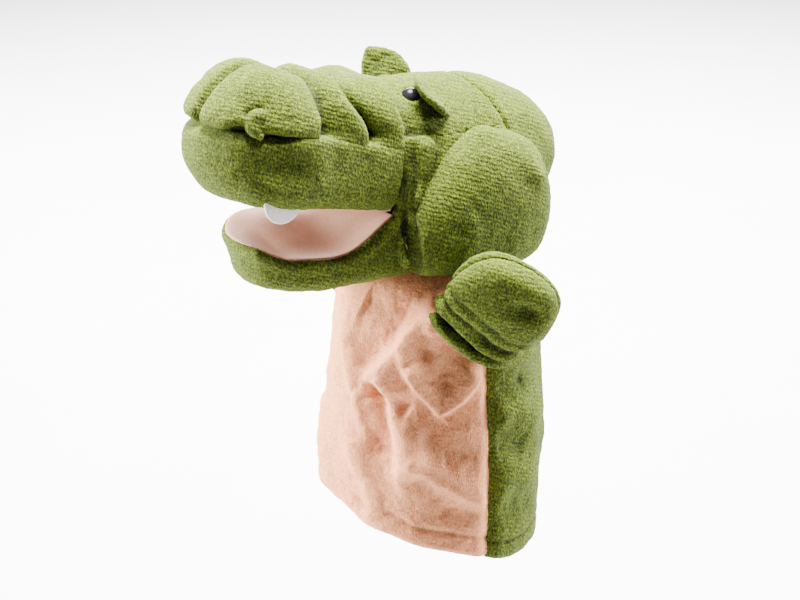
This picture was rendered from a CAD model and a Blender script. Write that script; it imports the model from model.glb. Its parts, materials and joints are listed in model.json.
"""The looks of a plush crocodile hand puppet: sewn plush over stuffing, worn with an open mouth.

The stuffed pieces are drawn as fields: distances to a surface in millimetres, negative inside,
which are meshed and then napped. The sleeve is one tube of loose cloth, drawn as two sheets.
Each jaw has a frame of its own, with its origin at the corners of the mouth, its lips in the
plane z = 0 and its tip towards -y.
"""
import json
import math
import bpy
import numpy as np
import openvdb
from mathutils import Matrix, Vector


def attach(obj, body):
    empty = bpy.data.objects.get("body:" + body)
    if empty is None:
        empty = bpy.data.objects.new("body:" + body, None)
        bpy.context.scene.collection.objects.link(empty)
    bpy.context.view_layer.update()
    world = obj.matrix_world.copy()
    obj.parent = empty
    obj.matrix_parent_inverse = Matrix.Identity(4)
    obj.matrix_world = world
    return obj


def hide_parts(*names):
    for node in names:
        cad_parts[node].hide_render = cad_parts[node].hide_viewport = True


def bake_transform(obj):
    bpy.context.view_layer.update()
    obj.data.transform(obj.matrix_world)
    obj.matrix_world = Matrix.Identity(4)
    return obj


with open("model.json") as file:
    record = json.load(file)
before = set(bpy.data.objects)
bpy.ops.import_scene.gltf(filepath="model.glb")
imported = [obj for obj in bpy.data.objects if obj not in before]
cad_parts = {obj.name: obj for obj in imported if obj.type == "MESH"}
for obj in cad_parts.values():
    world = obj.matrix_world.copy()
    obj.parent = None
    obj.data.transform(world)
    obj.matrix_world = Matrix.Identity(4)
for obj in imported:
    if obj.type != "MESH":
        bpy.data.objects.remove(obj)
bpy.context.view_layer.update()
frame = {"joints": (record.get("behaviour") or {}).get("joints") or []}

JOINTS = {joint["name"]: joint for joint in frame["joints"]}
MM = 0.001  # a millimetre, in metres
NOISE_CELLS = 24  # how many bumps of noise pass before it repeats


def joint_place(name):
    """Where a joint lies, in millimetres."""
    return np.array(JOINTS[name]["pos_m"]) * 1000


# ---------------------------------------------------------------- numbers and noise
def smooth_step(low, high, value):
    """0 below low and 1 above high, with a smooth way between them."""
    part = np.clip((value - low) / (high - low), 0, 1)
    return part * part * (3 - 2 * part)


def hill(value, wide):
    """1 at zero, and falling off on both sides over this width."""
    return np.exp(-(value / wide) ** 2)


def noise(points, grain, seed):
    """Smooth noise from about -1 to 1, with bumps of this size."""
    lattice = np.random.default_rng(seed).uniform(-1, 1, (NOISE_CELLS,) * 3)
    at = np.asarray(points) / grain
    cell = np.floor(at).astype(int)
    part = at - cell
    part = part * part * (3 - 2 * part)
    total = 0
    for corner in np.ndindex(2, 2, 2):
        weight = np.prod(np.where(corner, part, 1 - part), axis=-1)
        index = (cell + corner) % NOISE_CELLS
        total = total + weight * lattice[index[..., 0], index[..., 1], index[..., 2]]
    return total


# ---------------------------------------------------------------- fields
def both(a, b, soft):
    """Where two forms overlap, with a soft edge."""
    near = np.maximum(soft - np.abs(a - b), 0) / soft
    return np.maximum(a, b) + near * near * soft / 4


def either(a, b, soft):
    """Two forms as one, with a soft crease."""
    return -both(-a, -b, soft)


def rounded_meet(a, b, radius):
    """Where two forms overlap, with the edge between them rounded."""
    out_a, out_b = np.maximum(a + radius, 0), np.maximum(b + radius, 0)
    return np.minimum(np.maximum(a, b) + radius, 0) + np.sqrt(out_a ** 2 + out_b ** 2) - radius


def ovoid(x, y, z, centre, half, power=2.0):
    """Roughly the distance to an ovoid; a power over 2 makes it squarer."""
    ratios = [np.abs(v - c) / h for v, c, h in zip((x, y, z), centre, half)]
    total = sum(ratio ** power for ratio in ratios) ** (1 / power)
    slope = np.sqrt(sum((ratio ** (power - 1) / h) ** 2 for ratio, h in zip(ratios, half)))
    slope = slope / np.maximum(total, 1e-3) ** (power - 1)
    return (total - 1) / np.maximum(slope, 0.4 / max(half))


def rope(x, y, z, start, end, radius):
    """Distance to a thick straight rope between two points."""
    start, way = np.array(start, float), np.array(end, float) - start
    dx, dy, dz = x - start[0], y - start[1], z - start[2]
    along = np.clip((dx * way[0] + dy * way[1] + dz * way[2]) / way.dot(way), 0, 1)
    return np.sqrt((dx - along * way[0]) ** 2 + (dy - along * way[1]) ** 2
                   + (dz - along * way[2]) ** 2) - radius


def crease(x, y, z, path, deep, wide):
    """How much a narrow crease along a path of points sinks a form."""
    away = [rope(x, y, z, start, end, 0) for start, end in zip(path, path[1:])]
    return deep * hill(np.minimum.reduce(away), wide)


def tongue(x, y, half, straight):
    """Distance to a jaw's outline in plan: straight sides and a round tip towards -y."""
    return np.sqrt(x * x + np.maximum(-y - straight, 0) ** 2) - half


# ---------------------------------------------------------------- frames and meshes
class Frame:
    """A place and three directions, in the puppet's own millimetres."""

    def __init__(self, origin, x_axis, y_axis, z_axis):
        """Three unit directions, square to each other, from one origin."""
        self.origin = np.array(origin, float)
        self.axes = np.array([x_axis, y_axis, z_axis], float)

    def here(self, x, y, z):
        """The puppet's coordinates as this frame's."""
        dx, dy, dz = x - self.origin[0], y - self.origin[1], z - self.origin[2]
        return [axis[0] * dx + axis[1] * dy + axis[2] * dz for axis in self.axes]

    def puppet(self, points):
        """This frame's points as the puppet's."""
        return self.origin + np.asarray(points) @ self.axes


def tilted(origin, degrees):
    """A frame turned about X, its -y side up by this much."""
    c, s = math.cos(math.radians(degrees)), math.sin(math.radians(degrees))
    return Frame(origin, (1, 0, 0), (0, c, -s), (0, s, c))


PUPPET = tilted((0, 0, 0), 0)
MOUTH = joint_place("upper_jaw_lift")
MUZZLE = tilted(MOUTH, 10)
JAW = tilted(MOUTH, -15)


def add_mesh(name, points, quads, material):
    """A smooth mesh from points in millimetres."""
    mesh = bpy.data.meshes.new(name)
    mesh.vertices.add(len(points))
    mesh.vertices.foreach_set("co", np.ascontiguousarray(points * MM, np.float32).ravel())
    mesh.loops.add(quads.size)
    mesh.loops.foreach_set("vertex_index", np.ascontiguousarray(quads, np.int32).ravel())
    mesh.polygons.add(len(quads))
    mesh.polygons.foreach_set("loop_start", np.arange(0, quads.size, 4, dtype=np.int32))
    mesh.polygons.foreach_set("use_smooth", np.ones(len(quads), bool))
    mesh.update(calc_edges=True)
    mesh.validate()
    mesh.materials.append(material)
    piece = bpy.data.objects.new(name, mesh)
    bpy.context.scene.collection.objects.link(piece)
    return piece


def carve(name, place, low, high, cell, form, material, mirror=False):
    """Meshes a form that is drawn in a frame, inside a box, in cells of this size."""
    axes = [np.arange(a, b + cell, cell) for a, b in zip(low, high)]
    field = form(*np.meshgrid(*axes, indexing="ij"))
    grid = openvdb.FloatGrid()
    grid.background = 3.0
    grid.copyFromArray(field.astype(np.float32), tolerance=0)
    points, quads = grid.convertToQuads(isovalue=0.0)
    points = place.puppet(np.array(low) + points * cell)
    if mirror:
        points, quads = points * (-1, 1, 1), quads[:, ::-1]
    return add_mesh(name, points, quads, material)


def points_and_normals(mesh):
    """A mesh's points in millimetres, and the way that its surface faces at each of them."""
    count = len(mesh.vertices)
    points, normals = np.empty(count * 3), np.empty(count * 3)
    mesh.vertices.foreach_get("co", points)
    mesh.vertex_normals.foreach_get("vector", normals)
    return points.reshape(-1, 3) * 1000, normals.reshape(-1, 3)


def nap(piece, fine=0.22, clumps=0.3, seed=1):
    """Raises and lowers a piece's surface as short pile does: fine tufts and wider clumps."""
    mesh = piece.data
    points, normals = points_and_normals(mesh)
    rise = fine * noise(points, 1.7, seed) + clumps * noise(points, 5.5, seed + 1)
    rise += 0.6 * noise(points, 17, seed + 2)
    moved = (points + normals * rise[:, None]) * MM
    mesh.vertices.foreach_set("co", moved.astype(np.float32).ravel())
    mesh.update()
    return note_folds(piece)


def note_folds(piece, spread=14):
    """Notes at each point how deep it lies in a fold: 0.5 is level and more is deeper."""
    mesh = piece.data
    points, normals = points_and_normals(mesh)
    count = len(points)
    ends = np.empty(len(mesh.edges) * 2, np.int32)
    mesh.edges.foreach_get("vertices", ends)
    here, there = np.r_[ends[::2], ends[1::2]], np.r_[ends[1::2], ends[::2]]
    near = np.maximum(np.bincount(here, minlength=count), 1)
    level = points
    for _ in range(spread):
        total = [np.bincount(here, level[there, axis], count) / near for axis in range(3)]
        level = (level + np.stack(total, -1)) / 2
    depth = ((level - points) * normals).sum(-1)
    note = mesh.attributes.new("fold", "FLOAT", "POINT")
    note.data.foreach_set("value", np.clip(0.5 + depth / 2, 0, 1).astype(np.float32))
    return piece


# ---------------------------------------------------------------- materials
class Shader:
    """Builds one material's nodes."""

    def __init__(self, name):
        """Starts from the usual surface shader, mapped by the piece's own coordinates."""
        self.material = bpy.data.materials.new(name)
        self.material.use_nodes = True
        self.tree = self.material.node_tree
        self.skin = self.tree.nodes["Principled BSDF"]
        self.place = self.tree.nodes.new("ShaderNodeTexCoord").outputs["Object"]

    def link(self, start, end):
        """Joins an output to an input."""
        self.tree.links.new(start, end)

    def noise(self, scale, detail=3.0, stretch=None):
        """Noise with this many bumps to a metre."""
        node = self.tree.nodes.new("ShaderNodeTexNoise")
        node.inputs["Scale"].default_value = scale
        node.inputs["Detail"].default_value = detail
        source = self.place
        if stretch:
            turn = self.tree.nodes.new("ShaderNodeMapping")
            turn.inputs["Scale"].default_value = stretch
            self.link(source, turn.inputs["Vector"])
            source = turn.outputs["Vector"]
        self.link(source, node.inputs["Vector"])
        return node.outputs["Fac"]

    def rows(self, scale):
        """Wavering rows, as the stitches under the pile leave them."""
        node = self.tree.nodes.new("ShaderNodeTexWave")
        node.bands_direction = "Z"
        for field, value in (("Scale", scale), ("Distortion", 5), ("Detail", 2),
                             ("Detail Scale", 0.6)):
            node.inputs[field].default_value = value
        turn = self.tree.nodes.new("ShaderNodeMapping")
        turn.inputs["Rotation"].default_value = (0.35, 0.12, 0)
        self.link(self.place, turn.inputs["Vector"])
        self.link(turn.outputs["Vector"], node.inputs["Vector"])
        return node.outputs["Fac"]

    def ramp(self, source, *stops):
        """Colours or greys along a value."""
        node = self.tree.nodes.new("ShaderNodeValToRGB")
        elements = node.color_ramp.elements
        while len(elements) < len(stops):
            elements.new(0.5)
        for element, (place, colour) in zip(elements, stops):
            element.position = place
            element.color = (*colour, 1) if len(colour) == 3 else colour
        self.link(source, node.inputs["Fac"])
        return node.outputs["Color"]

    def folds(self):
        """How deep each point lies in a fold, as note_folds left it."""
        node = self.tree.nodes.new("ShaderNodeAttribute")
        node.attribute_name = "fold"
        return node.outputs["Fac"]

    def mix(self, kind, amount, first, second):
        """One colour laid over another, by this kind of mixing and this much."""
        node = self.tree.nodes.new("ShaderNodeMix")
        node.data_type, node.blend_type = "RGBA", kind
        node.inputs["Factor"].default_value = amount
        self.link(first, node.inputs["A"])
        self.link(second, node.inputs["B"])
        return node.outputs["Result"]

    def bumps(self, *layers):
        """Bump over bump, each one a source, a strength and a depth in metres."""
        normal = None
        for source, strength, depth in layers:
            node = self.tree.nodes.new("ShaderNodeBump")
            node.inputs["Strength"].default_value = strength
            node.inputs["Distance"].default_value = depth
            self.link(source, node.inputs["Height"])
            if normal:
                self.link(normal, node.inputs["Normal"])
            normal = node.outputs["Normal"]
        self.link(normal, self.skin.inputs["Normal"])


def grey(value):
    """A neutral colour."""
    return (value, value, value)


def plush(name, deep, usual, light, sheen, tint, ribs, shade):
    """Short pile: light and dark tufts, patches where the nap lies another way, and sheen."""
    shader = Shader(name)
    tufts = shader.noise(1500, 3, (1, 1, 0.6))
    base = shader.ramp(tufts, (0.34, deep), (0.5, usual), (0.66, light))
    patches = shader.ramp(shader.noise(70, 2), (0.3, grey(0.82)), (0.7, grey(1.0)))
    fibres = shader.ramp(shader.noise(2200, 2, (1, 1, 0.4)), (0.3, grey(0.6)), (0.7, grey(1.0)))
    rows = shader.rows(170)
    colour = shader.mix("MULTIPLY", 0.75, base, patches)
    colour = shader.mix("MULTIPLY", 0.6, colour, fibres)
    stripes = shader.ramp(rows, (0.2, grey(0.66)), (0.75, grey(1.0)))
    colour = shader.mix("MULTIPLY", ribs, colour, stripes)
    folds = shader.ramp(shader.folds(), (0.34, grey(1.0)), (0.54, grey(0.84)), (0.68, grey(0.4)),
                        (0.9, grey(0.12)))
    colour = shader.mix("MULTIPLY", shade, colour, folds)
    shader.link(colour, shader.skin.inputs["Base Color"])
    shader.skin.inputs["Roughness"].default_value = 0.9
    shader.skin.inputs["Specular IOR Level"].default_value = 0.15
    shader.skin.inputs["Sheen Weight"].default_value = sheen
    shader.skin.inputs["Sheen Roughness"].default_value = 0.45
    shader.skin.inputs["Sheen Tint"].default_value = (*tint, 1)
    shader.bumps((rows, 0.6 * ribs, 0.0005), (tufts, 0.65, 0.0008),
                 (shader.noise(2200, 2), 0.6, 0.0003))
    return shader.material


def cloth(name, deep, light, scale=900, sheen=0.2, rough=0.85):
    """Smooth cloth: a fine weave with slow changes of shade."""
    shader = Shader(name)
    slow = shader.ramp(shader.noise(60, 2), (0.3, deep), (0.7, light))
    fine = shader.ramp(shader.noise(scale, 3), (0.3, grey(0.86)), (0.7, grey(1.0)))
    shader.link(shader.mix("MULTIPLY", 1.0, slow, fine), shader.skin.inputs["Base Color"])
    shader.skin.inputs["Roughness"].default_value = rough
    shader.skin.inputs["Specular IOR Level"].default_value = 0.2
    shader.skin.inputs["Sheen Weight"].default_value = sheen
    shader.bumps((shader.noise(scale, 3), 0.4, 0.0002))
    return shader.material


def gloss(name, deep, light, rough, shine):
    """Moulded plastic with the faintest mottle."""
    shader = Shader(name)
    colour = shader.ramp(shader.noise(300, 2), (0.3, deep), (0.7, light))
    shader.link(colour, shader.skin.inputs["Base Color"])
    haze = shader.ramp(shader.noise(900, 2), (0.3, grey(rough)), (0.7, grey(rough + 0.06)))
    shader.link(haze, shader.skin.inputs["Roughness"])
    shader.skin.inputs["Specular IOR Level"].default_value = shine
    shader.bumps((shader.noise(500, 2), 0.05, 0.0001))
    return shader.material


GREEN = plush("green_plush", (0.028, 0.041, 0.005), (0.076, 0.105, 0.008), (0.19, 0.242, 0.014),
              0.04, (0.7, 0.85, 0.15), 0.5, 1.0)
PEACH = plush("peach_plush", (0.80, 0.26, 0.11), (0.95, 0.37, 0.17), (1.0, 0.48, 0.25),
              0.08, (1, 0.6, 0.4), 0.1, 0.3)
VELOUR = cloth("mouth_velour", (0.50, 0.26, 0.155), (0.60, 0.33, 0.205))
FELT = cloth("white_felt", (0.64, 0.61, 0.56), (0.74, 0.71, 0.66), 700, 0.4, 0.95)
LINING = cloth("lining_cloth", (0.42, 0.42, 0.38), (0.56, 0.56, 0.52), 1200)
EYE = gloss("eye_plastic", (0.004, 0.004, 0.005), (0.012, 0.012, 0.014), 0.22, 0.12)
WASHER = gloss("washer_plastic", (0.62, 0.62, 0.58), (0.74, 0.74, 0.70), 0.5, 0.4)


# ---------------------------------------------------------------- muzzle
# Half a jaw's width, and the length of its straight sides.
MUZZLE_PLAN = (33, 54)
JAW_PLAN = (29, 38.5)
# How far below the plain surface the filling starts, whatever the sewing does above it.
FILLING_DEPTH = 6.5
PLUSH_CELL = 1.1


def muzzle_form(x, y, z):
    """The muzzle without its sewing: a deep tongue, rounder at its tip, swollen in front."""
    forward = -y
    front = smooth_step(40, 80, forward)
    under, over = 8 + 10 * smooth_step(60, 84, forward), 21 + 5 * front
    radius = under + (over - under) * smooth_step(12, 40, z)
    form = rounded_meet(tongue(x, y, *MUZZLE_PLAN), np.abs(z - 27.3) - 27.3, radius)
    return form - 1.0 * hill(z - 18, 14) - 0.8 * hill(forward - 64, 18)


def lip_seam(y):
    """How high the seam between the top panel and the lip band lies."""
    return 28 + 2.5 * hill(-y - 52, 22)


def seam_slack(y):
    """How much the two panels bulge over their seam: it is deep in front and shallow behind."""
    return 1.6 * smooth_step(62, 40, -y)


def seam_groove(y, z):
    """How deep the stitches pull that seam in, round the muzzle's front."""
    return 4.2 * hill(z - lip_seam(y), 2.0) * smooth_step(56, 72, -y)


def tip_creases(side, y, z):
    """Slack folds beside the cleft, and the pinch in front of the nostril."""
    folds = crease(side, y, z, ((22, -78, 40), (14, -80, 47), (9, -74, 54)), 0.9, 2.2)
    folds = folds + crease(side, y, z, ((26, -70, 43), (20, -68, 50), (14, -60, 55)), 0.8, 2.4)
    pinch = crease(side, y, z, ((25.5, -73, 40.5), (22.5, -77, 37.5), (22.5, -78, 32)), 1.6, 1.5)
    return folds, pinch


def with_rolls(form, plain, forward, lines, over):
    """Ends a form at the first tuck, and lays two rolls behind it, each under the one before."""
    tucks = [3.5 * over * hill(forward - line, 2.4) for line in lines]
    form = both(form - 1.2 + tucks[0], lines[0] - forward, 3)
    for number in (1, 2):
        before, line = lines[number - 1:number + 1]
        part = np.clip((before - forward) / (before - line), 0, 1)
        depth = over * (6 * (1 - part ** 0.7) - 1.6 * np.sin(np.pi * part)) - 0.6 * part
        depth = depth + tucks[number - 1] + tucks[number]
        form = np.minimum(form, both(plain + depth, line - forward, 3))
    return form


def muzzle_top(x, y, z):
    """A swollen front with a cleft and hollows for the nostrils, and two rolls behind it."""
    forward, side = -y, np.abs(x)
    plain = muzzle_form(x, y, z)
    over = smooth_step(26, 34, z)
    bend = smooth_step(32, 52, z)
    lines = (43.5 + 2 * hill(side - 22, 12), 21 + 11 * bend, 2 + 5 * bend)
    cleft = 4.5 * hill(x, 2.6) * smooth_step(58, 74, forward)
    swell = 1.0 * hill(side - 15, 11) * smooth_step(50, 68, forward)
    drop = 4.0 * hill(forward - 43, 13) * smooth_step(36, 50, z)
    folds, pinch = tip_creases(side, y, z)
    form = plain + cleft - swell + drop + folds + pinch + seam_groove(y, z)
    form = with_rolls(form, plain, forward, lines, over)
    form = np.minimum(form, plain + FILLING_DEPTH)
    hollow = ovoid(side, y, z, (23, -79, 29), (7, 6, 3.6))
    form = both(form, -hollow, 2)
    return both(form, lip_seam(y) - z - seam_slack(y), 3.5)


def lip_band(x, y, z):
    """The band round the muzzle's sides and front, curled under at the lip."""
    forward = -y
    plain = muzzle_form(x, y, z)
    dimple = 2.6 * hill(forward - 62, 11) * hill(z - 17, 7) * smooth_step(10, 20, np.abs(x))
    fold = 1.1 * hill(forward - 46.5 - 0.25 * (z - 15), 7) * smooth_step(2, 14, z)
    form = both(plain - 0.6 + dimple - fold + seam_groove(y, z), 2.5 - forward, 4)
    form = np.minimum(form, plain + FILLING_DEPTH)
    return both(both(form, z - lip_seam(y) - seam_slack(y), 3.5), -6 - forward, 2)


def lining_shell(room, thick, x, y, z):
    """A thin lining against the walls of a pocket's room."""
    return both(room(x, y, z, -0.4), -room(x, y, z, thick), 0.5)


def finger_room(x, y, z, less=0.0):
    """The pocket's room for four fingers."""
    wide = np.abs(x) - 23 + less
    high = np.abs(z - 14) - 10.5 + less
    return rounded_meet(rounded_meet(wide, high, 6), -y - 60 + less, 5)


def upper_jaw():
    """The muzzle: its plush, the palate, the pocket for the fingers, teeth and nostrils."""
    low, high = (-37, -92, -4), (37, 10, 61)

    def without_fingers(form):
        return lambda x, y, z: both(form(x, y, z), -finger_room(x, y, z), 1)

    top = carve("muzzle_top", MUZZLE, low, high, PLUSH_CELL, without_fingers(muzzle_top), GREEN)
    band = carve("muzzle_lip", MUZZLE, low, high, PLUSH_CELL, without_fingers(lip_band), GREEN)
    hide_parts("muzzle_top_panel", "muzzle_filling")
    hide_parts("muzzle_lip_band")
    for piece, seed in ((top, 11), (band, 21)):
        nap(piece, seed=seed)
        join_at(piece, MUZZLE, 24, 3)
    palate = carve("palate", MUZZLE, low, (37, 6, 8), 0.9, palate_form, VELOUR)
    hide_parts("palate_lining")
    join_at(palate, MUZZLE, 12, 0)
    pocket = carve("finger_lining", MUZZLE, (-26, -64, 0), (26, 4, 28), 0.9, finger_lining, LINING)
    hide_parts("finger_pocket")
    join_at(pocket, MUZZLE, 24, 3)
    teeth()
    nostrils()


def join_at(piece, place, start, end):
    """Blends a piece from a jaw to the head between two distances in front of the mouth's corner."""
    points = place.puppet([(0, -start, 0), (0, -end, 0)]) * MM
    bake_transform(piece)


def palate_form(x, y, z):
    """The roof of the mouth, whose edge shows below the lip."""
    edge = tongue(x, y, 29.5, 46) + 4 * smooth_step(44, 70, -y) + 3 * smooth_step(10, 0, -y)
    slab = np.abs(z - 0.2 + 1.8 * smooth_step(-2, -10, edge)) - 1.1
    return both(both(edge, slab, 1), y + 1, 1)


def finger_lining(x, y, z):
    """A thin pocket, open towards the palm."""
    return both(lining_shell(finger_room, 1.3, x, y, z), y + 2, 0.5)


def teeth():
    """Half discs of felt, sewn in between the lip and the palate."""
    def tooth(x, y, z):
        disc = np.sqrt(((y + 57) / 9.2) ** 2 + (np.minimum(z - 3, 0) / 10.5) ** 2) * 9.2 - 9.2
        sheet = np.abs(x - 27.6 - 0.05 * (z + 6)) - 0.9
        return both(both(disc, sheet, 0.8), z - 5, 0.8)

    for side in ("left", "right"):
        piece = carve(f"felt_tooth_{side}", MUZZLE, (26, -68, -10), (33, -46, 7), 0.45, tooth,
                      FELT, side == "right")
        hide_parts(f"tooth_{side}")
        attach(piece, "upper_jaw")


def nostrils():
    """A pinched nub of plush over a small hollow, on each side of the tip."""
    def nub(x, y, z):
        path = ((26.6, -70.5, 38.8), (25, -73.4, 37.8), (24.2, -75.2, 35.6), (24.8, -75.6, 33.2),
                (26.2, -74.6, 31.2), (28.4, -72.6, 29.4))
        form = ovoid(x, y, z, (22.5, -66, 34.5), (7.5, 10, 4.6))
        for start, end in zip(path, path[1:]):
            form = either(form, rope(x, y, z, start, end, 1.2), 3.5)
        return form

    for side in ("left", "right"):
        piece = carve(f"nostril_nub_{side}", MUZZLE, (14, -90, 22), (40, -58, 48), 0.7, nub,
                      GREEN, side == "right")
        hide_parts(f"nostril_{side}")
        nap(piece, 0.2, 0.2, 31)
        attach(piece, "upper_jaw")


# ---------------------------------------------------------------- lower jaw
def floor_height(edge):
    """The mouth's floor, dished a little between its edges."""
    return -1.3 + 1.2 * smooth_step(-6, -24, edge)


def jaw_sag(x, y):
    """How the jaw hangs on its left, in the middle of its length, and rises round its tip."""
    left = smooth_step(-22, 25, x)
    hang = -8.6 * hill(-y - 27, 20) + 8 * smooth_step(52, 68, -y)
    return hang * left + 9 * smooth_step(18, 58, -y) * (1 - left)


def chin_form(x, y, z):
    """A rolled rim over a deeper belly, which reaches down to the throat at the back."""
    edge = tongue(x, y, *JAW_PLAN)
    sag = jaw_sag(x, y)
    low = -33 + 0.26 * np.clip(-y, 0, 70)
    rim = np.sqrt((edge + 3.4) ** 2 + (z - sag + 4.2) ** 2) - 3.6
    middle, half = (sag - 4 + low) / 2, (sag - 4 - low) / 2
    belly = rounded_meet(edge + 0.5, np.abs(z - middle) - half, 8)
    return both(either(rim, belly, 5), y - 8, 2)


def thumb_room(x, y, z, less=0.0):
    """The pocket's room for the thumb."""
    wide = np.abs(x) - 13 + less
    high = np.abs(z - jaw_sag(x, y) + 10.5) - 5 + less
    return rounded_meet(rounded_meet(wide, high, 4), -y - 50 + less, 4)


def lower_jaw():
    """The chin, the mouth's floor and the pocket for the thumb."""
    low, high = (-33, -71, -38), (33, 12, 14)

    def chin(x, y, z):
        return both(chin_form(x, y, z), -thumb_room(x, y, z), 1)

    def floor(x, y, z):
        edge = tongue(x, y, *JAW_PLAN)
        slab = np.abs(z - jaw_sag(x, y) - floor_height(edge)) - 1.2
        return both(both(edge + 1.9, slab, 0.8), y + 1, 1)

    def lining(x, y, z):
        return both(lining_shell(thumb_room, 1.2, x, y, z), y + 2, 0.5)

    piece = nap(carve("chin", JAW, low, high, PLUSH_CELL, chin, GREEN), seed=41)
    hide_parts("chin_panel", "jaw_filling")
    join_at(piece, JAW, 26, 2)
    piece = carve("mouth_floor", JAW, low, high, 0.9, floor, VELOUR)
    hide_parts("mouth_floor_lining")
    join_at(piece, JAW, 12, 0)
    piece = carve("thumb_lining", JAW, (-16, -54, -28), (16, 4, 10), 0.8, lining, LINING)
    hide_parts("thumb_pocket")
    join_at(piece, JAW, 26, 2)


# ---------------------------------------------------------------- head
# Creases in the left side of the head: their points, depth and width.
CREASES = (
    (((30, -36, 186), (33, -36.5, 176), (32, -37, 162), (31, -33, 148), (34, -36, 138)), 5.0, 1.6),
    (((32, -32, 186), (35.5, -33, 172), (34.5, -34.5, 160), (36, -32, 149), (31, -30, 136)), 5.5, 1.7),
    (((27, -32, 191), (31, -22, 190), (34, -17, 186), (37, -16, 182)), 2.6, 1.8),
    (((39, -22, 174), (37, -14, 183), (35, -6, 188), (32, 6, 190)), 3.0, 1.8),
)


def head_form(x, y, z):
    """The stuffed head, fuller behind, with soft folds where the face meets the jaws."""
    form = ovoid(x, y, z, (0, -10, 165.5), (37, 72, 43))
    form = form - 1.2 * smooth_step(0, 30, y) * smooth_step(165, 190, z)
    form = form + 1.5 * smooth_step(172, 150, z) * smooth_step(15, 50, y)
    collar = rounded_meet(np.hypot(x, y - 1) - 36, np.abs(z - 140) - 13.5, 5)
    form = either(form, collar, 10)
    side = np.abs(x)
    form = either(form, rope(side, y, z, (30, -26, 184), (32, -32, 162), 6.5), 2)
    eye = np.sqrt((side - 16) ** 2 + (y + 22) ** 2 + (z - 203.3) ** 2)
    form = form - 1.3 * hill(eye - 5.8, 2)
    form = both(form, 126.5 - z, 12)
    form = both(form, -gather(x, y, z), 1)
    for path, deep, wide in CREASES:
        form = form + crease(side, y, z, path, deep, wide)
    return both(form, MOUTH[1] - 0.2 * np.abs(z - MOUTH[2]) - y, 3)


def gather(x, y, z):
    """The deep fold between the jaws and the cheek on each side."""
    side = np.abs(x)
    above = rope(side, y * 3, z, (38, -33.5 * 3, 189), (38, -36.5 * 3, 157), 6)
    return np.minimum(above, rope(side, y * 3, z, (38, -36.5 * 3, 157), (33, -31 * 3, 130), 7)) / 2


def palm_room(x, y, z, less=0.0):
    """The hollow for the palm, open below for the wrist and in front for the fingers."""
    room = ovoid(x, y, z, (0, -13, 160), (30 - less, 51 - less, 27 - less))
    wrist = np.maximum(np.hypot(x, y) - 29 + less, z - 146)
    return either(room, wrist, 3)


def front_room(x, y, z):
    """The ways from the palm into both pockets; they end inside the palm's room."""
    fingers = finger_room(*MUZZLE.here(x, y, z))
    thumb = thumb_room(*JAW.here(x, y, z))
    return np.maximum(np.minimum(fingers, thumb), y + 5)


def head():
    """The stuffed head in four panels, its pouch for the palm, the cheeks and the brow flaps."""
    low, high = (-46, -50, 118), (46, 72, 216)

    def stuffed(x, y, z):
        room = np.minimum(palm_room(x, y, z), front_room(x, y, z))
        return both(head_form(x, y, z), -room, 1)

    def nape_seam(x, y):
        return 8 + 0.42 * np.abs(x) - y

    def crown(x, y, z):
        form = both(stuffed(x, y, z), 187 - z, 2)
        return both(form, -nape_seam(x, y), 2)

    def nape(x, y, z):
        return both(stuffed(x, y, z), nape_seam(x, y), 2)

    def side(x, y, z):
        form = both(stuffed(x, y, z), z - 189, 2)
        return both(both(form, -nape_seam(x, y), 2), -x, 2)

    def lining(x, y, z):
        shell = lining_shell(palm_room, 1.2, x, y, z)
        shell = both(shell, -front_room(x, y, z), 0.5)
        return both(both(shell, 128 - z, 0.5), MOUTH[1] + 2 - y, 0.5)

    pieces = [
        (carve("crown", PUPPET, low, high, 1.15, crown, GREEN), ["crown_panel", "head_filling"]),
        (carve("nape", PUPPET, low, high, 1.15, nape, GREEN), ["nape_panel"]),
        (carve("face_left", PUPPET, low, high, 1.15, side, GREEN), ["head_side_left"]),
        (carve("face_right", PUPPET, low, high, 1.15, side, GREEN, True), ["head_side_right"]),
    ]
    for number, (piece, replaced) in enumerate(pieces):
        nap(piece, seed=51 + 5 * number)
        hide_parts(*replaced)
        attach(piece, "head")
    piece = carve("palm_lining", PUPPET, low, high, 1.0, lining, LINING)
    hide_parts("hand_pouch")
    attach(piece, "head")
    cheeks()
    brow_flaps()


def cheek_form(x, y, z):
    """A stuffed lobe, flat on its outer side."""
    form = ovoid(x, y, z, (32, 6, 154), (19, 32, 34), 2.3)
    form = either(form, ovoid(x, y, z, (29, -17, 145), (17, 21, 23), 2.4), 12)
    form = either(form, rope(x, y, z, (34, 3, 186), (36, 5, 168), 2.6), 9)
    form = either(form, rope(x, y, z, (36, 4, 184), (46, 24, 168), 2.6), 6)
    for path, deep, wide in CREASES[:2]:
        form = form + crease(x, y, z, path, deep, wide)
    form = both(both(form, 125.5 - z, 10), -gather(x, y, z), 1)
    return both(form, -head_form(x, y, z) - 4, 1)


def cheeks():
    """The lobes on both sides of the head."""
    for side in ("left", "right"):
        piece = carve(f"cheek_lobe_{side}", PUPPET, (4, -42, 116), (56, 44, 194), PLUSH_CELL,
                      cheek_form, GREEN, side == "right")
        nap(piece, seed=81)
        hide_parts(f"cheek_{side}", f"cheek_filling_{side}")
        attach(piece, "head")


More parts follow.
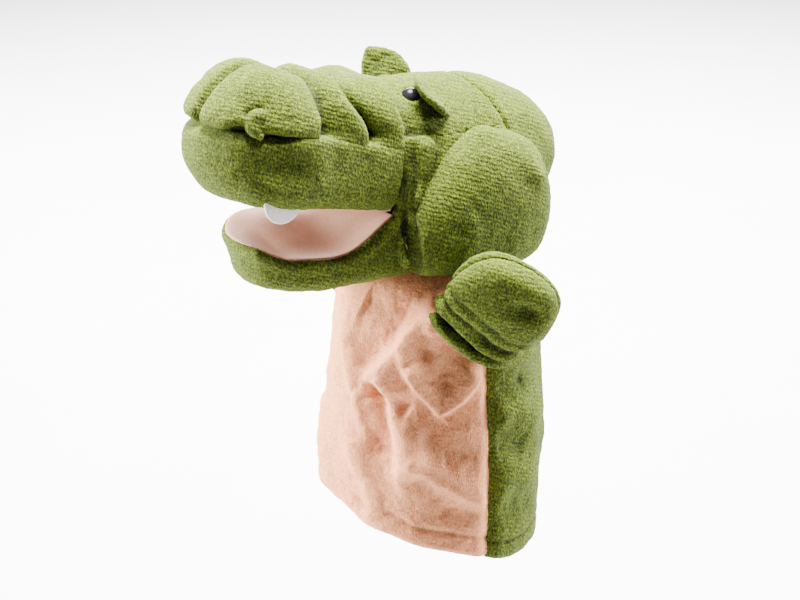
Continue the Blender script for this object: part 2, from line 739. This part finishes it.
def brow_flaps():
    """Doubled plush, cupped towards the eye, one folded forwards and one standing."""
    def flap(peak):
        def form(x, y, z):
            wide = np.where(x < peak, peak + 11.5, 11.5 - peak)
            arch = (np.sqrt(((x - peak) / wide) ** 2 + (np.maximum(z, 0) / 17) ** 2) - 1) * 9
            cup = 2.2 * hill(x, 7) * smooth_step(0, 12, z)
            sheet = np.abs(y + cup) - 1.9
            return both(both(arch, sheet, 2.5), -4 - z, 1)
        return form

    stands = {
        "left": ((19, -13, 202.3), (0.68, -0.60, 0.42), (0.66, 0.30, -0.69), 0),
        "right": ((-20, -12, 201.7), (-0.35, -0.25, 0.90), (-0.40, -0.90, -0.10), 6),
    }
    for side, (foot, up, along, peak) in stands.items():
        along = np.array(along) / np.linalg.norm(along)
        face = np.cross(up, along)
        face = face / np.linalg.norm(face)
        place = Frame(foot, along, face, np.cross(along, face))
        piece = carve(f"brow_{side}", place, (-15, -9, -6), (15, 9, 21), 0.7, flap(peak),
                      GREEN)
        nap(piece, 0.25, 0.3, 91)
        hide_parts(f"brow_flap_{side}")
        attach(piece, "head")


# ---------------------------------------------------------------- arms
ARM_OUT = np.array((0.60, 0.25, 0.76))
ARM_FACE = np.array((0.75, -0.60, -0.28))
# The half that faces the head is stuffed flatter, to leave the cheek room as the arm swings.
INSIDE_FLATTER = 1.45


def arm_form(x, y, z):
    """A flat mitten whose root is gathered in two rolls; x points out, y is its flat side."""
    main = ovoid(x, y, z, (3, 0, 0), (24, 14, 24.5), 2.5)
    around = np.sqrt((y / 13) ** 2 + (z / 23) ** 2)
    turned = 4 * smooth_step(-20, 20, z)
    roll = np.hypot(x + 13 + turned * 0.4, (around - 0.78) * 15) - 3.9
    root = np.hypot(x + 20 + turned * 0.2, (around - 0.74) * 14) - 3.5
    core = both(ovoid(x, y, z, (-8, 0, 0), (18, 11, 19)), x - 4, 2)
    form = np.minimum(np.minimum(main, core), np.minimum(roll, root))
    seam = 1.3 * hill(y, 1.8) * smooth_step(0.55, 0.9, around)
    dent = 3.5 * hill(np.hypot(x - 14, (z - 8) * 0.6), 4) * smooth_step(0, 6, y)
    for place, deep in ((-16.5, 1.6), (-8, 2.0), (-1, 1.1)):
        form = form + deep * hill(x - place + turned * 0.4 + 1.5 * np.sin(z / 6), 1.5)
    return form + seam * smooth_step(-10, -2, x) + dent


def arms():
    """Both stuffed arms, each in an outside and an inside half."""
    out = ARM_OUT / np.linalg.norm(ARM_OUT)
    face = ARM_FACE - out * ARM_FACE.dot(out)
    face = face / np.linalg.norm(face)
    shoulder = joint_place("arm_left_swing")
    place = Frame(shoulder + out * 22, out, face, np.cross(out, face))

    def outside(x, y, z):
        return both(arm_form(x, y, z), -y, 1)

    def inside(x, y, z):
        return both(arm_form(x, y * INSIDE_FLATTER, z), y, 1)

    for side, mirror in (("left", False), ("right", True)):
        for half, form, seed in (("outside", outside, 101), ("inside", inside, 111)):
            piece = carve(f"mitten_{side}_{half}", place, (-30, -20, -32), (32, 20, 32), 1.05,
                          form, GREEN, mirror)
            nap(piece, seed=seed)
            gone = [f"arm_{side}_{half}"] + ([f"arm_{side}_filling"] if half == "inside" else [])
            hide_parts(*gone)
            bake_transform(piece)


# ---------------------------------------------------------------- sleeve
SLEEVE_ROUND = 48  # the radius at which distances round the sleeve are measured
HEM_ROUND = 49
SLEEVE_TOP = 132
HEM_WIDTH = 9
CLOTH_THICKNESS = 2.4
# Radii at some heights, from below the hem to the neck.
RADII = ((-25, 47.5), (10, 48.5), (40, 49), (62, 47), (82, 46.5), (104, 46.5), (114, 44), (122, 38),
         (128, 32), (134, 28))
# Folds in the belly: the line that a fold's crest follows, as angles from the front and heights,
# then how far it stands out, and how wide it is above and below, or ahead and behind.
BELLY_FOLDS = (
    (((62, 121), (56, 114), (44, 101), (38, 93), (30, 85), (20, 76)), 5.0, 11, 3.2),
    (((56, 112), (58, 95), (57, 80)), 2.5, 4, 3),
    (((44, 88), (53, 75), (61, 66), (72, 72), (84, 84)), 4.2, 9, 2.6),
    (((30, 78), (34, 69), (38, 56), (42, 42), (40, 33)), 3.6, 6, 3),
    (((2, 98), (9, 75), (17, 60), (23, 48)), 2.6, 7, 4),
    (((46, 79), (50, 62), (49, 41)), 2.4, 3, 6),
    (((44, 44), (61, 34), (78, 24), (92, 18)), 3.0, 7, 3.5),
    (((8, 48), (14, 30), (24, 10)), 2.0, 6, 5),
    (((-52, 104), (-50, 70), (-46, 46)), 1.8, 10, 8),
    (((-36, 56), (-33, 36), (-34, 6)), 2.8, 12, 12),
    (((-75, 92), (-66, 60), (-70, 25)), 2.2, 9, 9),
)
BELLY_HOLLOWS = (
    (((-26, 100), (-30, 86), (-28, 72)), 2.2, 14, 14),
    (((28, 68), (32, 55), (35, 42)), 2.0, 5, 5),
    (((20, 74), (36, 70), (46, 66)), 3.0, 4, 4),
    (((54, 104), (56, 90), (60, 80)), 2.2, 4, 4),
    (((15, 70), (20, 58), (27, 42)), 2.4, 4, 4),
    (((62, 44), (75, 44), (91, 46)), 1.0, 4, 4),
    (((60, 18), (78, 16), (92, 13)), 1.0, 4, 4),
    (((12, 112), (30, 108), (42, 104)), 2.5, 10, 8),
    (((12, 30), (16, 12)), 1.6, 5, 5),
)
BACK_FOLDS = (
    (((92, 92), (110, 84), (128, 86)), 2.2, 6, 6),
    (((94, 58), (108, 64), (124, 54), (140, 58)), 2.0, 8, 6),
    (((93, 22), (106, 30), (122, 24)), 1.9, 8, 6),
    (((150, 105), (160, 80), (155, 50), (165, 20)), 2.4, 9, 8),
    (((200, 100), (192, 70), (205, 40), (196, 10)), 2.4, 9, 8),
    (((262, 92), (245, 80), (232, 84)), 2.2, 8, 6),
    (((266, 40), (248, 50), (230, 38)), 2.0, 8, 6),
)
BACK_HOLLOWS = (
    (((95, 73), (104, 70), (116, 74)), 1.3, 6, 6),
    (((94, 44), (102, 46), (114, 40)), 1.3, 6, 6),
    (((98, 12), (112, 14), (126, 10)), 1.0, 6, 6),
    (((176, 98), (180, 60), (176, 20)), 2.0, 9, 9),
)


def crest(across, height, line, high, left, right):
    """How far one fold lifts the cloth; a fold may be steeper on one side."""
    path = [(SLEEVE_ROUND * math.radians(angle), z) for angle, z in line]
    best = np.full(across.shape, 1e9)
    lift = np.zeros(across.shape)
    lengths = [math.dist(a, b) for a, b in zip(path, path[1:])]
    done, whole = 0, sum(lengths)
    for (x0, z0), (x1, z1), length in zip(path, path[1:], lengths):
        wx, wz = (x1 - x0) / length, (z1 - z0) / length
        along = np.clip((across - x0) * wx + (height - z0) * wz, 0, length)
        dx, dz = across - x0 - along * wx, height - z0 - along * wz
        away = np.hypot(dx, dz)
        turn = wx * dz - wz * dx
        wide = 1.2 * (left + (right - left) * smooth_step(-2.5, 2.5, -turn))
        place = (done + along) / whole
        fade = smooth_step(0, 0.18, place + 0.08) * smooth_step(0, 0.2, 1.08 - place)
        value = high * fade * np.exp(-(away / wide) ** 2)
        nearer = away < best
        lift, best = np.where(nearer, value, lift), np.where(nearer, away, best)
        done += length
    return lift


def hem_height(angle):
    """The opening's height: lower at the back and on the left."""
    x, y = HEM_ROUND * np.sin(angle), -HEM_ROUND * np.cos(angle)
    return -0.162 * x - 0.213 * y


def sleeve_sheet(name, first, last, folds, hollows, material, seed):
    """One panel of the sleeve, from one side seam to the other, as a closed sheet."""
    columns, rows = 170, 150
    degrees = np.linspace(first, last, columns)[:, None]
    part = np.linspace(0, 1, rows)[None, :]
    angle = np.radians(degrees) * np.ones_like(part)
    across = SLEEVE_ROUND * angle
    wave = 0.9 * noise(np.stack([across, across * 0, across * 0], -1), 14, seed)
    low = hem_height(angle) + wave
    height = low + (SLEEVE_TOP - low) * part
    keys = np.array(RADII)
    radius = np.interp(height, keys[:, 0], keys[:, 1])
    settle = smooth_step(-6, 8, height - low) * 0.5 + 0.5
    calm = 1 - smooth_step(112, 124, height)
    lift = 1.5 * sum(crest(across, height, *fold) for fold in folds)
    lift = lift - 1.4 * sum(crest(across, height, *hollow) for hollow in hollows)
    spots = np.stack([across, height, across * 0], -1)
    lift = lift + 1.6 * noise(spots, 26, seed + 1) + 0.4 * noise(spots, 12, seed + 2)
    seam = np.minimum(np.abs(degrees - first), np.abs(degrees - last))
    seam = seam * SLEEVE_ROUND * math.radians(1)
    pinch = 2.2 * hill(seam, 3) * np.ones_like(part)
    radius = radius + lift * settle * calm * smooth_step(-1, 8, seam) - pinch
    fine = 0.25 * noise(spots, 1.6, seed + 3) + 0.3 * noise(spots, 5, seed + 4)
    edge = 0.9 * hill(height - low, 1.2) + 0.8 * hill(height - low - HEM_WIDTH - wave, 1.3)
    outer = radius + fine - edge
    inner = radius - CLOTH_THICKNESS - 1.6 * (1 - smooth_step(7.5, 9.5, height - low))
    points = [np.stack([r * np.sin(angle), -r * np.cos(angle), height], -1).reshape(-1, 3)
              for r in (outer, inner)]
    return note_folds(add_mesh(name, np.concatenate(points), closed_quads(columns, rows), material))


def closed_quads(columns, rows):
    """Faces of an outer and an inner grid of points, and of the four edges between them."""
    index = np.arange(columns * rows).reshape(columns, rows)
    back = index + columns * rows
    faces = []
    for grid, flip in ((index, False), (back, True)):
        quads = np.stack([grid[:-1, :-1], grid[1:, :-1], grid[1:, 1:], grid[:-1, 1:]], -1)
        faces.append(quads.reshape(-1, 4)[:, ::-1] if flip else quads.reshape(-1, 4))
    rim = np.concatenate([index[:, 0], index[-1, 1:], index[-2::-1, -1], index[0, -2:0:-1]])
    rim_back = rim + columns * rows
    following, following_back = np.roll(rim, -1), np.roll(rim_back, -1)
    faces.append(np.stack([rim, rim_back, following_back, following], -1))
    return np.concatenate(faces)


def sleeve():
    """The belly and back panels, which hang from the head."""
    belly = sleeve_sheet("belly", -90, 90, BELLY_FOLDS, BELLY_HOLLOWS, PEACH, 201)
    back = sleeve_sheet("back", 90, 270, BACK_FOLDS, BACK_HOLLOWS, GREEN, 231)
    for piece, node in ((belly, "belly_panel"), (back, "back_panel")):
        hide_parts(node)
        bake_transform(piece)


# ---------------------------------------------------------------- light and camera
def studio():
    """A pale floor far below, and soft lights: low in front, overhead, behind and on the floor."""
    floor = bpy.data.meshes.new("floor")
    floor.from_pydata([(-12, -12, -1), (12, -12, -1), (12, 12, -1), (-12, 12, -1)], [],
                      [(0, 1, 2, 3)])
    paint = Shader("pale_floor")
    paint.link(paint.ramp(paint.noise(3, 2), (0.3, grey(0.86)), (0.7, grey(0.9))),
               paint.skin.inputs["Base Color"])
    floor.materials.append(paint.material)
    ground = bpy.data.objects.new("studio_floor", floor)
    bpy.context.scene.collection.objects.link(ground)
    world = bpy.data.worlds.new("studio")
    world.use_nodes = True
    world.node_tree.nodes["Background"].inputs["Color"].default_value = (1, 1, 1, 1)
    world.node_tree.nodes["Background"].inputs["Strength"].default_value = 0.04
    bpy.context.scene.world = world
    lamp("key", (-0.7, -0.8, 0.35), (0, -0.03, 0.06), 0.6, 100)
    lamp("overhead", (-0.05, 0.05, 1.1), (0, -0.03, 0.12), 0.6, 160)
    lamp("fill", (0.9, -1.2, 0.3), (0, -0.03, 0.08), 1.0, 1.5)
    lamp("rear", (0.35, 1.3, 0.35), (0, 0, 0.1), 0.6, 76)
    lamp("floor_light", (-3.2, 2.0, 1.0), (-3.2, 2.0, -1), 4.5, 1500)


def lamp(name, place, target, wide, power):
    """A round soft light at a place, turned to a target."""
    light = bpy.data.lights.new(name, "AREA")
    light.shape, light.size, light.energy = "DISK", wide, power
    thing = bpy.data.objects.new(name, light)
    thing.location = place
    thing.rotation_euler = (Vector(target) - Vector(place)).to_track_quat("-Z", "Y").to_euler()
    bpy.context.scene.collection.objects.link(thing)


def camera():
    """Looks at the puppet's left side from the front and a little above."""
    back = Vector((0.807, -0.504, 0.309))
    target = Vector((-0.0335, 0.0032, 0.0925))
    away = 1.1
    lens = bpy.data.cameras.new("camera")
    lens.lens, lens.clip_start = 105.3, 0.05
    view = bpy.data.objects.new("camera", lens)
    view.location = target + back * away
    view.rotation_euler = (-back).to_track_quat("-Z", "Y").to_euler()
    bpy.context.scene.collection.objects.link(view)
    bpy.context.scene.camera = view


def paint_kept_parts():
    """Gives the eyes and their washers their own plastics."""
    for side in ("left", "right"):
        for node, material in ((f"eye_{side}", EYE), (f"eye_washer_{side}", WASHER)):
            part = bpy.data.objects[node]
            part.data.materials.clear()
            part.data.materials.append(material)


camera()
studio()
paint_kept_parts()
upper_jaw()
lower_jaw()
head()
arms()
sleeve()
